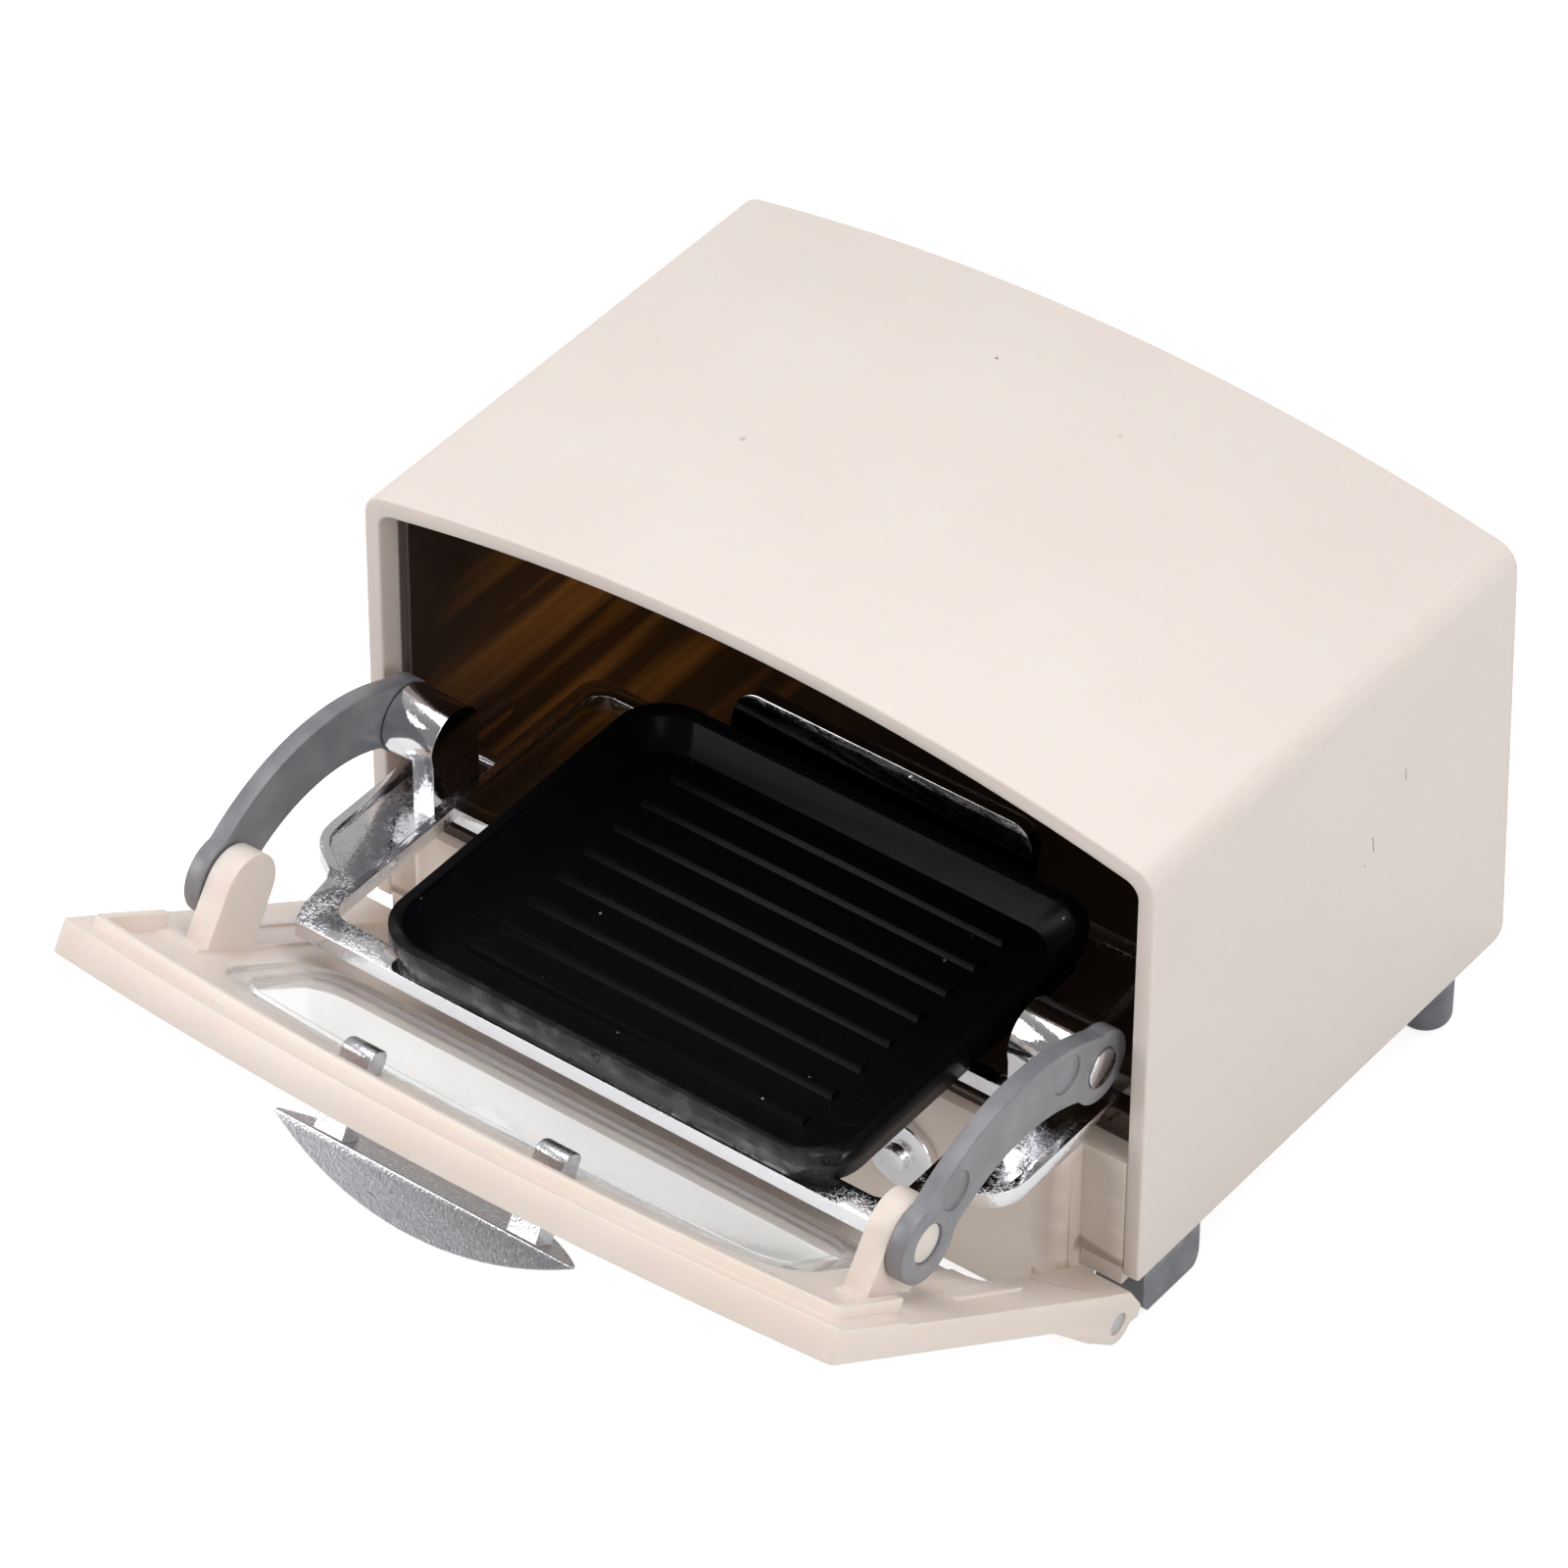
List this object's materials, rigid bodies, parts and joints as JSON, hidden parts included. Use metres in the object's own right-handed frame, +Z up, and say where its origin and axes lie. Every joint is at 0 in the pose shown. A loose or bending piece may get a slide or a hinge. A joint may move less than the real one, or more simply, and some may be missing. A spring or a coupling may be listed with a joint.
{
  "type": "toy oven",
  "caption": "Doll's house toaster oven whose hinged glazed door draws a sliding rack and grill plate out of the baking chamber on two curved arms.",
  "frame": {"origin": "on the surface the oven stands on, on its middle plane, midway between the tip of the open door and the back of the case", "axes": "+Z up, the door faces -Y, +X to the right hand of someone who faces the door"},
  "size_m": [0.0506, 0.0618, 0.0339],
  "materials": {
    "cream_plastic": "glossy, slightly translucent moulding",
    "door_plastic": "glossy, slightly translucent moulding, warmer than the case",
    "brown_plastic": "glossy dark brown translucent moulding",
    "chrome_plate": "bright metal plating on plastic, finely pitted",
    "silver_plate": "satin metal plating with a fine hammered grain",
    "foot_plastic": "satin grey moulding",
    "pin_steel": "plain steel",
    "clear_pane": "clear glossy styrene",
    "grey_plastic": "satin grey moulding",
    "black_plastic": "satin black moulding with dust"
  },
  "bodies": {
    "case": {"shell": "cream_plastic", "chamber_liner": "brown_plastic", "base_plate": "cream_plastic", "front_panel": "cream_plastic", "foot_front_left": "foot_plastic", "foot_front_right": "foot_plastic", "foot_back_left": "foot_plastic", "foot_back_right": "foot_plastic", "base_screws": "pin_steel", "hinge_pin_left": "pin_steel", "hinge_pin_right": "pin_steel"},
    "door": {"door": "door_plastic", "window": "clear_pane", "handle": "silver_plate"},
    "rack": {"rack": "chrome_plate"},
    "arm_left": {"arm_left": "grey_plastic", "arm_stud_left": "door_plastic"},
    "arm_right": {"arm_right": "grey_plastic", "arm_stud_right": "door_plastic"},
    "grill_plate": {"grill_plate": "black_plastic"},
    "dial_left": {"dial_left": "chrome_plate"},
    "dial_right": {"dial_right": "chrome_plate"}
  },
  "joints": [
    {"name": "door_hinge", "type": "hinge", "parent": "case", "child": "door", "pos_m": [0, -0.00466, 0.0027], "axis": [-1, 0, 0], "range_deg": [0, 57.2]},
    {"name": "rack_slide", "type": "slide", "parent": "case", "child": "rack", "axis": [0, 1, 0], "range_m": [0, 0.01804]},
    {"name": "arm_pivot_left", "type": "hinge", "parent": "rack", "child": "arm_left", "pos_m": [-0.0207, -0.00362, 0.0184], "axis": [-1, 0, 0], "range_deg": [0, 18.57]},
    {"name": "arm_pivot_right", "type": "hinge", "parent": "rack", "child": "arm_right", "pos_m": [0.0207, -0.00362, 0.0184], "axis": [-1, 0, 0], "range_deg": [0, 18.57]},
    {"name": "grill_lift", "type": "slide", "parent": "rack", "child": "grill_plate", "axis": [0, 0, 1], "range_m": [0, 0.01]},
    {"name": "dial_turn_left", "type": "hinge", "parent": "case", "child": "dial_left", "pos_m": [-0.0114, -0.00435, 0.0069], "axis": [0, 1, 0], "range_deg": [0, 270]},
    {"name": "dial_turn_right", "type": "hinge", "parent": "case", "child": "dial_right", "pos_m": [0.0114, -0.00435, 0.0069], "axis": [0, 1, 0], "range_deg": [0, 270]}
  ],
  "couplings": [
    {"joint": "rack_slide", "follows": "door_hinge", "m_per_rad": 0.018063},
    {"joint": "arm_pivot_left", "follows": "door_hinge", "ratio": 0.32432},
    {"joint": "arm_pivot_right", "follows": "door_hinge", "ratio": 0.32432}
  ]
}
